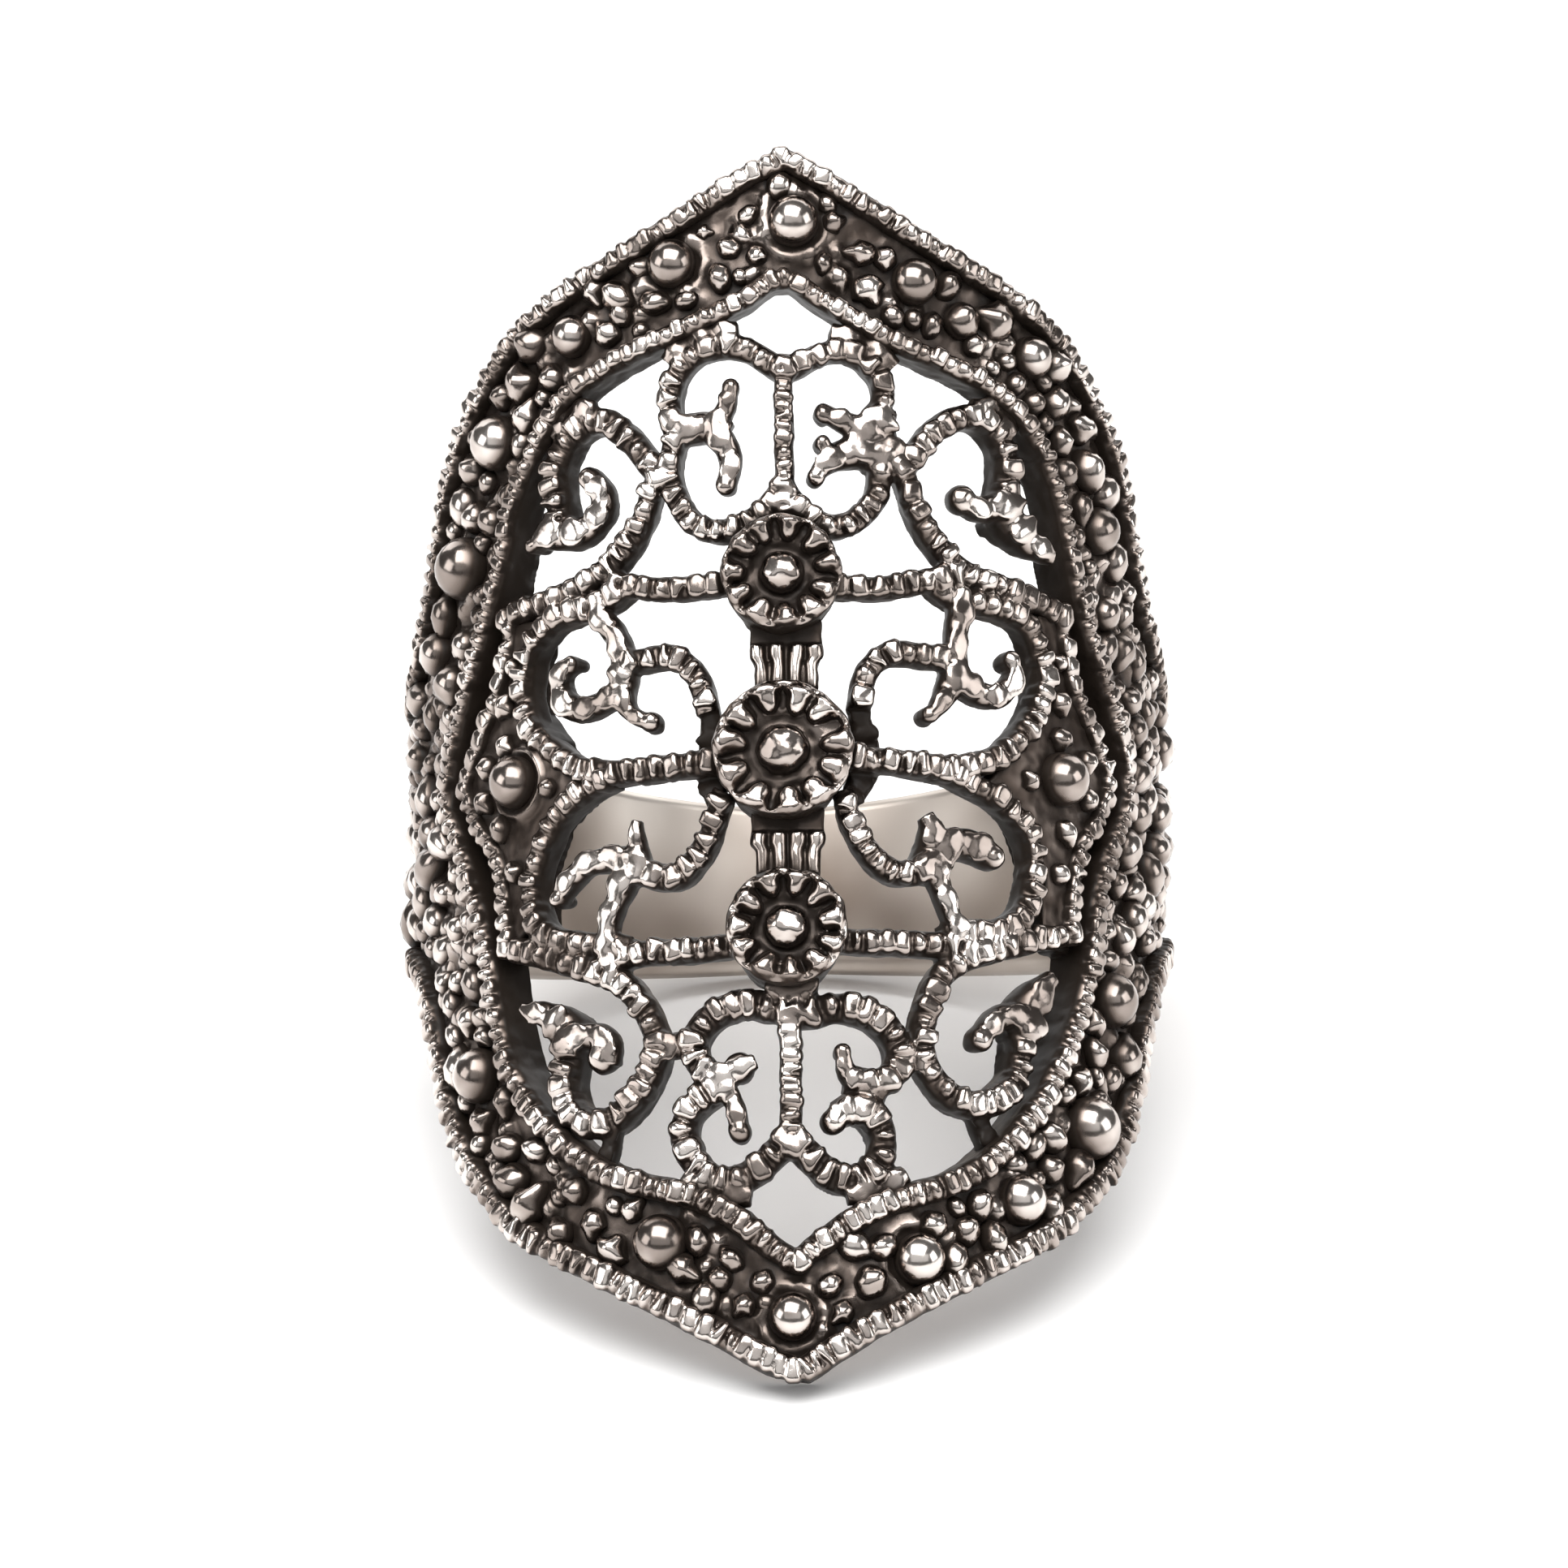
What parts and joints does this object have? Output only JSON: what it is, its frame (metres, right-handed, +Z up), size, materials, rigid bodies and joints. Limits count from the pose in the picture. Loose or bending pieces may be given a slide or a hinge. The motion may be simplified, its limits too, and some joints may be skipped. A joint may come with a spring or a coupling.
{
  "type": "silver ring",
  "caption": "Long saddle-shaped cast silver finger ring with pierced scrollwork, beaded border and rosettes down the middle.",
  "frame": {"origin": "middle of the bounding box, on the surface that the ring lies on", "axes": "+Z up, X across the ring from side to side, the decorated plate faces -Y and up, and the shank is towards +Y"},
  "size_m": [0.0204, 0.027, 0.0266],
  "materials": {
    "silver": "antiqued cast silver: dark oxidised recesses, polished high spots"
  },
  "bodies": {
    "root": {"silver_ring": "silver"}
  },
  "joints": []
}
